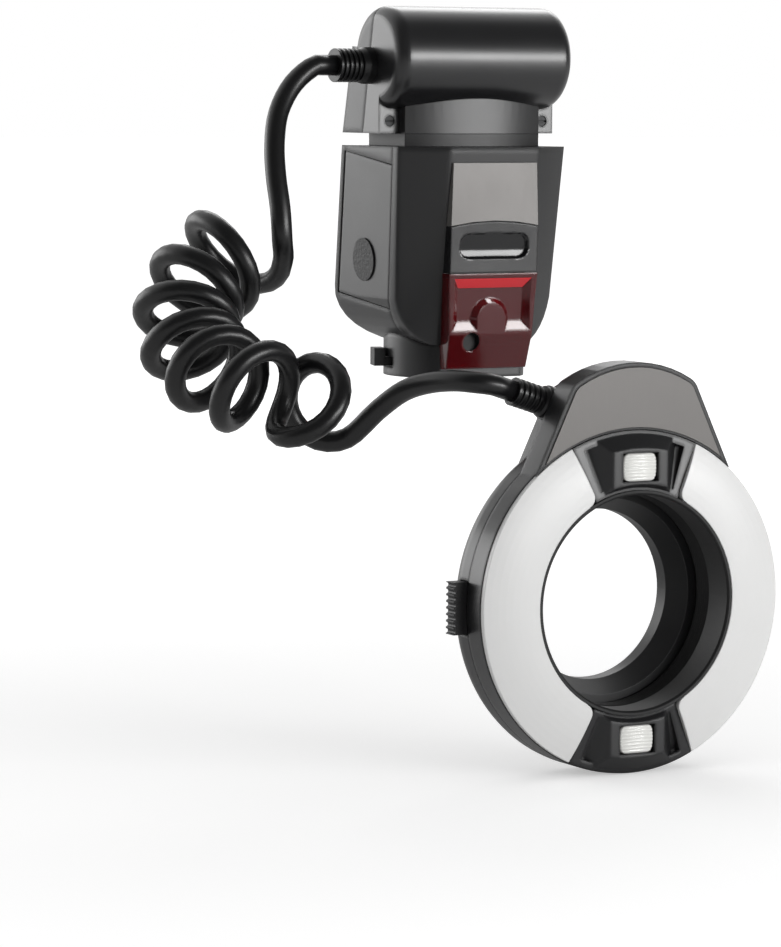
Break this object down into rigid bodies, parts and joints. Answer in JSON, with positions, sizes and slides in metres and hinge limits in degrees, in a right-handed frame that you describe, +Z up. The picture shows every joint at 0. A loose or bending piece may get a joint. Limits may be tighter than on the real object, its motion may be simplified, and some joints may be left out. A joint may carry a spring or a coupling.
{
  "type": "macro ring flash",
  "caption": "Ring light for close-up photography: a lamp ring that latches onto a lens, joined by a curly cord to a battery-powered control unit on a shoe foot",
  "frame": {"origin": "centre of the shoe foot's bottom face", "axes": "+Z up, -Y the way the lens looks, +X to the right as seen from the front with the ring towards the viewer"},
  "size_m": [0.1795, 0.1447, 0.2351],
  "materials": {
    "shell": "fine matte moulded plastic",
    "trim": "dark grey moulded plastic",
    "gloss_black": "polished black plastic",
    "milky": "milky frosted plastic",
    "lamp": "clear moulded lens over white",
    "plate": "warm grey brushed metal",
    "steel": "plain brushed steel",
    "mirror": "bright rolled metal",
    "tube": "clear glass",
    "glass": "smoked clear plastic",
    "display": "grey-green display",
    "red": "deep red see-through plastic",
    "red_lens": "red moulded lens",
    "amber": "see-through amber plastic",
    "board": "green laminate",
    "cell": "printed wrap on a metal can",
    "can": "dark sleeve on a metal can",
    "brass": "gold-plated brass",
    "rubber": "satin black rubber"
  },
  "bodies": {
    "control_unit": {"head_front_shell": "shell", "head_rear_shell": "shell", "head_collar": "trim", "head_gland": "rubber", "head_screws": "steel", "display_window": "glass", "display_module": "display", "body_front_shell": "shell", "body_rear_shell": "shell", "neck": "trim", "body_nameplate": "plate", "gloss_panel": "gloss_black", "red_window": "red", "assist_lens": "red_lens", "window_sensor": "trim", "battery_cells": "cell", "battery_divider": "trim", "battery_contacts": "steel", "main_board": "board", "storage_capacitor": "can", "base_block": "shell", "foot_plate": "steel", "foot_contacts": "brass", "cord_upper": "rubber", "cord_coil": "rubber"},
    "ring_head": {"ring_front_shell": "shell", "ring_rear_shell": "shell", "diffuser_left": "milky", "diffuser_right": "milky", "ring_nameplate": "plate", "pod_top": "shell", "pod_bottom": "shell", "lamp_lens_top": "lamp", "lamp_lens_bottom": "lamp", "bore_liner": "shell", "flash_tube_left": "tube", "flash_tube_right": "tube", "reflector_left": "mirror", "reflector_right": "mirror", "ring_board": "board", "ring_gland": "rubber", "latch_spring_left": "steel", "latch_spring_right": "steel", "cord_lower": "rubber"},
    "release_left": {"release_button_left": "trim", "latch_plate_left": "steel"},
    "release_right": {"release_button_right": "trim", "latch_plate_right": "steel"},
    "adapter": {"adapter_ring": "trim"},
    "lock_lever": {"lock_lever": "trim"},
    "lock_pin": {"lock_pin": "steel"},
    "battery_door": {"battery_door": "shell", "door_pad": "rubber"},
    "key_left": {"key_left": "trim"},
    "key_middle": {"key_middle": "trim"},
    "key_right": {"key_right": "trim"},
    "select_dial": {"select_dial": "trim"},
    "set_key": {"set_key": "trim"},
    "power_switch": {"power_switch": "trim"},
    "test_key": {"test_key": "amber"}
  },
  "joints": [
    {"name": "ring_pull", "type": "slide", "parent": "control_unit", "child": "ring_head", "axis": [0, -1, 0], "range_m": [0, 0.04], "stiffness_N_per_m": 30, "deforming": ["cord_upper", "cord_coil", "cord_lower"]},
    {"name": "release_left_press", "type": "slide", "parent": "ring_head", "child": "release_left", "axis": [1, 0, 0], "range_m": [0, 0.0022], "stiffness_N_per_m": 800, "deforming": ["latch_spring_left"]},
    {"name": "release_right_press", "type": "slide", "parent": "ring_head", "child": "release_right", "axis": [-1, 0, 0], "range_m": [0, 0.0022], "stiffness_N_per_m": 800, "deforming": ["latch_spring_right"]},
    {"name": "adapter_turn", "type": "hinge", "parent": "ring_head", "child": "adapter", "pos_m": [0, -0.0855, -0.058], "axis": [0, 1, 0], "continuous": true},
    {"name": "lock_turn", "type": "hinge", "parent": "control_unit", "child": "lock_lever", "pos_m": [0, 0, 0.0076], "axis": [0, 0, -1], "range_deg": [0, 40]},
    {"name": "lock_pin_drop", "type": "slide", "parent": "control_unit", "child": "lock_pin", "axis": [0, 0, -1], "range_m": [0, 0.0015]},
    {"name": "battery_door_swing", "type": "hinge", "parent": "control_unit", "child": "battery_door", "pos_m": [-0.03001, 0.0174, 0.0772], "axis": [0.0426, 0.1705, -0.9844], "range_deg": [0, 90]},
    {"name": "key_left_press", "type": "slide", "parent": "control_unit", "child": "key_left", "axis": [0, -0.9852, -0.1712], "range_m": [0, 0.0007], "stiffness_N_per_m": 600},
    {"name": "key_middle_press", "type": "slide", "parent": "control_unit", "child": "key_middle", "axis": [0, -0.9852, -0.1712], "range_m": [0, 0.0007], "stiffness_N_per_m": 600},
    {"name": "key_right_press", "type": "slide", "parent": "control_unit", "child": "key_right", "axis": [0, -0.9852, -0.1712], "range_m": [0, 0.0007], "stiffness_N_per_m": 600},
    {"name": "select_dial_turn", "type": "hinge", "parent": "control_unit", "child": "select_dial", "pos_m": [0, 0.02502, 0.0526], "axis": [0, 0.9852, 0.1712], "continuous": true},
    {"name": "set_key_press", "type": "slide", "parent": "control_unit", "child": "set_key", "axis": [0, -0.9852, -0.1712], "range_m": [0, 0.0007], "stiffness_N_per_m": 600},
    {"name": "power_switch_slide", "type": "slide", "parent": "control_unit", "child": "power_switch", "axis": [-1, 0, 0], "range_m": [0, 0.005]},
    {"name": "test_key_press", "type": "slide", "parent": "control_unit", "child": "test_key", "axis": [0, -0.9852, -0.1712], "range_m": [0, 0.0007], "stiffness_N_per_m": 600}
  ],
  "couplings": [
    {"joint": "lock_pin_drop", "follows": "lock_turn", "m_per_rad": 0.002}
  ]
}
